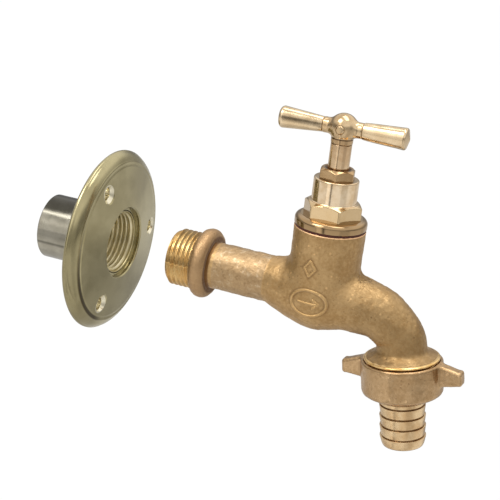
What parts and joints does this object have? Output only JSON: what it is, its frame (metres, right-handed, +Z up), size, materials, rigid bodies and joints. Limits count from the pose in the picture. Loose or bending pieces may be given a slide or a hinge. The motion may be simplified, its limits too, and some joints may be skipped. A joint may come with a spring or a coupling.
{
  "type": "hose bib",
  "caption": "Wall-mounted brass hose bib: globe tap with rising tee-handle spindle, winged union nut, barbed hose tail and threaded wall flange.",
  "frame": {"origin": "centre of the flange where the inlet axis meets the wall, on the back face of the wall plate", "axes": "+X out of the wall along the inlet axis, +Z up along the spindle, +Y across"},
  "size_m": [0.1642, 0.0678, 0.1144],
  "materials": {
    "plate_brass": "polished, lacquered",
    "nickel_tube": "satin turned",
    "cast_brass": "sand cast, tumbled",
    "turned_brass": "bright turned",
    "gland_brass": "turned",
    "nut_brass": "cast, satin",
    "tail_brass": "turned satin",
    "fibre": "vulcanised fibre",
    "packing": "graphited yarn",
    "rubber": "moulded"
  },
  "bodies": {
    "flange": {"wall_plate": "plate_brass", "threaded_socket": "nickel_tube"},
    "tap_body": {"body_casting": "cast_brass", "bonnet_gasket": "fibre", "bonnet": "turned_brass", "packing_washer": "turned_brass", "packing_ring_lower": "packing", "packing_ring_upper": "packing"},
    "valve": {"jumper": "turned_brass", "valve_washer": "rubber", "washer_nut": "turned_brass"},
    "spindle_handle": {"spindle": "turned_brass", "handle_hub": "turned_brass", "hub_pin": "turned_brass", "tommy_bar": "turned_brass", "bar_end": "turned_brass"},
    "gland_ring": {"gland_follower": "turned_brass"},
    "gland_nut_body": {"gland_nut": "gland_brass"},
    "union_seal": {"outlet_washer": "rubber"},
    "union_nut": {"wing_nut": "nut_brass"},
    "tail": {"hose_tail": "tail_brass"}
  },
  "joints": [
    {"name": "tap_engage", "type": "slide", "parent": "flange", "child": "tap_body", "axis": [1, 0, 0], "range_m": [-0.0325, 0]},
    {"name": "valve_lift", "type": "slide", "parent": "tap_body", "child": "valve", "axis": [0, 0, 1], "range_m": [0, 0.0051]},
    {"name": "spindle_turn", "type": "hinge", "parent": "valve", "child": "spindle_handle", "pos_m": [0.0857, 0, 0.03], "axis": [0, 0, 1], "range_deg": [0, 720]},
    {"name": "gland_feed", "type": "slide", "parent": "tap_body", "child": "gland_ring", "axis": [0, 0, 1], "range_m": [0, 0.0021]},
    {"name": "gland_nut_turn", "type": "hinge", "parent": "gland_ring", "child": "gland_nut_body", "pos_m": [0.0857, 0, 0.04], "axis": [0, 0, 1], "range_deg": [0, 720]},
    {"name": "union_drop", "type": "slide", "parent": "tap_body", "child": "union_seal", "axis": [0.1616, 0, -0.9869], "range_m": [0, 0.0092]},
    {"name": "union_nut_turn", "type": "hinge", "parent": "union_seal", "child": "union_nut", "pos_m": [0.11876, 0, -0.02233], "axis": [0.1616, 0, -0.9869], "range_deg": [0, 1800]},
    {"name": "tail_swivel", "type": "hinge", "parent": "union_seal", "child": "tail", "pos_m": [0.12118, 0, -0.03714], "axis": [0.1616, 0, -0.9869], "continuous": true}
  ],
  "couplings": [
    {"joint": "valve_lift", "follows": "spindle_turn", "m_per_rad": 0.00039789},
    {"joint": "gland_feed", "follows": "gland_nut_turn", "m_per_rad": 0.00015915},
    {"joint": "union_drop", "follows": "union_nut_turn", "m_per_rad": 0.00028871}
  ]
}
